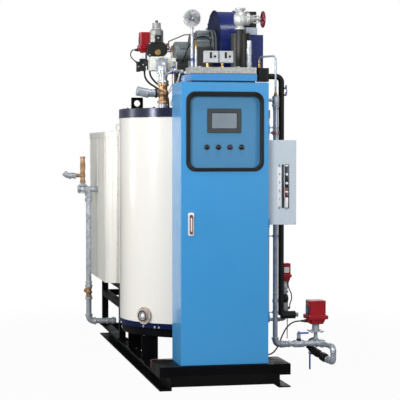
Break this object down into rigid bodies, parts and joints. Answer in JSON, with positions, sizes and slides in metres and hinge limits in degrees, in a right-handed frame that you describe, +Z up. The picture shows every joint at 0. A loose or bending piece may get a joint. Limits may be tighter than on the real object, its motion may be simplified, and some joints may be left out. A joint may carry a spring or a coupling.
{
  "type": "industrial steam boiler",
  "caption": "Upright gas-fired steam boiler on a steel skid, with a control cabinet in front, an economizer behind, and blower, gas train and valves piped round it.",
  "frame": {"origin": "on the floor at the centre of the four anchor bolts in the skid's lower flanges", "axes": "+Z up, +Y from the cabinet's front towards the economizer, +X to the right seen from the front"},
  "size_m": [1.6342, 3.05, 2.608],
  "materials": {
    "skid_black": "semi-gloss black paint",
    "jacket_cream": "glossy cream paint",
    "band_navy": "gloss navy paint",
    "polished_steel": "polished stainless",
    "casing_steel": "dull stainless sheet",
    "cabinet_blue": "fine textured blue paint",
    "trim_rubber": "black moulded rubber",
    "panel_teal": "textured teal blue paint",
    "screen_grey": "dark grey moulding",
    "button_black": "black plastic",
    "chrome": "bright chrome",
    "stainless": "brushed stainless",
    "switch_grey": "pale grey enamel",
    "galvanised": "galvanised, slightly uneven",
    "bronze": "cast bronze",
    "copper": "dull copper tube",
    "blower_navy": "gloss dark blue paint",
    "motor_grey": "grey painted casting",
    "lagging_black": "black foam lagging",
    "cast_silver": "silver painted casting",
    "handwheel_red": "dark red paint",
    "lever_blue": "blue dipped sleeve",
    "actuator_red": "gloss red paint",
    "panel_grey": "pale grey paint",
    "gas_cream": "cream paint",
    "gas_black": "black casting",
    "cable_black": "black cable sheath"
  },
  "bodies": {
    "root": {"skid_channel_left": "skid_black", "skid_channel_right": "skid_black", "skid_cross_members": "skid_black", "front_deck": "skid_black", "boiler_base": "skid_black", "boiler_bottom_band": "band_navy", "boiler_jacket": "jacket_cream", "boiler_top_cover": "polished_steel", "boiler_lifting_lugs": "skid_black", "sight_port": "panel_grey", "flue_duct": "casing_steel", "economizer_casing": "casing_steel", "economizer_lid": "casing_steel", "economizer_frame": "skid_black", "cabinet_body": "cabinet_blue", "cabinet_hinges": "cabinet_blue", "cabinet_hood": "cabinet_blue", "instrument_tray": "stainless", "pressure_switches": "switch_grey", "instrument_stand_pipes": "galvanised", "pressure_gauge": "stainless", "copper_line": "copper", "blower_housing": "blower_navy", "blower_motor": "motor_grey", "blower_inlet_box": "blower_navy", "steam_separator": "lagging_black", "steam_valve": "cast_silver", "lagged_steam_line": "lagging_black", "water_column": "galvanised", "blowdown_pipework": "galvanised", "drain_pipe": "lagging_black", "valve_actuators": "actuator_red", "upper_valve": "galvanised", "level_gauge_panel": "panel_grey", "riser_pipes": "galvanised", "boiler_relief_valve": "bronze", "gas_block": "gas_cream", "gas_regulator": "gas_black", "gas_solenoid": "cast_silver", "feed_motor": "motor_grey", "blower_motor_cable": "cable_black", "cable_glands": "cable_black", "feed_line_valves": "bronze", "feed_pipework": "galvanised", "gas_actuator_cable": "cable_black", "left_conduit_hose": "cable_black", "main_actuator_cable": "cable_black", "motor_stands": "skid_black", "right_conduit_hose": "cable_black", "upper_actuator_cable": "cable_black"},
    "door": {"cabinet_door": "cabinet_blue", "window_trim": "trim_rubber", "control_panel": "panel_teal", "touch_screen": "screen_grey", "push_buttons": "button_black", "handle_base": "chrome"},
    "handle": {"handle_lever": "chrome"},
    "handwheel": {"steam_valve_wheel": "handwheel_red"},
    "blowdown_handle": {"blowdown_lever": "lever_blue"},
    "drain_handle": {"drain_lever": "lever_blue"}
  },
  "joints": [
    {"name": "door_hinge", "type": "hinge", "parent": "root", "child": "door", "pos_m": [0.308, -1.4775, 1.11], "axis": [0, 0, 1], "range_deg": [0, 110]},
    {"name": "handle_lift", "type": "hinge", "parent": "door", "child": "handle", "pos_m": [-0.234, -1.5155, 1.168], "axis": [-1, 0, 0], "range_deg": [0, 60]},
    {"name": "steam_valve_turn", "type": "hinge", "parent": "root", "child": "handwheel", "pos_m": [0.346, -1.1, 2.518], "axis": [1, 0, 0], "range_deg": [0, 1800]},
    {"name": "blowdown_valve_turn", "type": "hinge", "parent": "root", "child": "blowdown_handle", "pos_m": [0.58099, -1.25148, 0.25653], "axis": [0, 0, 1], "range_deg": [0, 90]},
    {"name": "drain_valve_turn", "type": "hinge", "parent": "root", "child": "drain_handle", "pos_m": [0.72236, -1.2018, 0.18488], "axis": [-0.9806, -0.1961, 0], "range_deg": [0, 90]}
  ]
}
